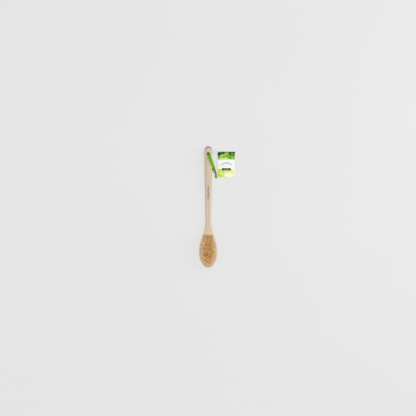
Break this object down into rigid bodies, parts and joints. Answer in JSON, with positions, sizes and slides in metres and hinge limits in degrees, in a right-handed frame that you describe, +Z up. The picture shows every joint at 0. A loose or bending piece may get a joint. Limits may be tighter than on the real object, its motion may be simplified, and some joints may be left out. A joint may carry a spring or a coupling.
{
  "type": "body brush",
  "caption": "Long-handled wooden body brush: a spoon-shaped head of plant-fibre tufts, a slim handle, a ribbon hanging loop and a card tag on a string.",
  "frame": {"origin": "on the resting surface, below the middle of the brush's length and width", "axes": "+Y from the head's tip to the handle's end, +Z up out of the bristles, +X to the right seen from above with the handle's end at the top"},
  "size_m": [0.1187, 0.4, 0.035],
  "materials": {
    "wood": "pale bamboo, sanded smooth, thin satin lacquer",
    "bristle_fibre": "golden-brown plant fibre, matt",
    "ribbon": "bright green woven ribbon, slight sheen",
    "string": "white twisted thread",
    "card": "coated printed card"
  },
  "bodies": {
    "brush": {"brush_body": "wood", "bristle_row_01": "bristle_fibre", "bristle_row_02": "bristle_fibre", "bristle_row_03": "bristle_fibre", "bristle_row_04": "bristle_fibre", "bristle_row_05": "bristle_fibre", "bristle_row_06": "bristle_fibre", "bristle_row_07": "bristle_fibre", "bristle_row_08": "bristle_fibre", "bristle_row_09": "bristle_fibre", "bristle_row_10": "bristle_fibre", "bristle_row_11": "bristle_fibre", "bristle_row_12": "bristle_fibre", "bristle_row_13": "bristle_fibre", "bristle_row_14": "bristle_fibre", "bristle_row_15": "bristle_fibre"},
    "hang_loop": {"hang_ribbon": "ribbon", "ribbon_knot": "ribbon", "ribbon_tail_front": "ribbon", "ribbon_tail_back": "ribbon"},
    "tag_line": {"tag_string": "string", "string_knot": "string"},
    "tag": {"tag_card": "card"}
  },
  "joints": [
    {"name": "loop_swing", "type": "hinge", "parent": "brush", "child": "hang_loop", "pos_m": [0, 0.176, 0.0123], "axis": [0, 0, 1], "range_deg": [0, 158]},
    {"name": "tag_swing", "type": "hinge", "parent": "hang_loop", "child": "tag_line", "pos_m": [0, 0.176, 0.0123], "axis": [0, 0, 1], "range_deg": [0, 30]},
    {"name": "tag_turn", "type": "hinge", "parent": "tag_line", "child": "tag", "pos_m": [0.0353, 0.1793, 0.00185], "axis": [0, 0, 1], "range_deg": [0, 90]}
  ]
}
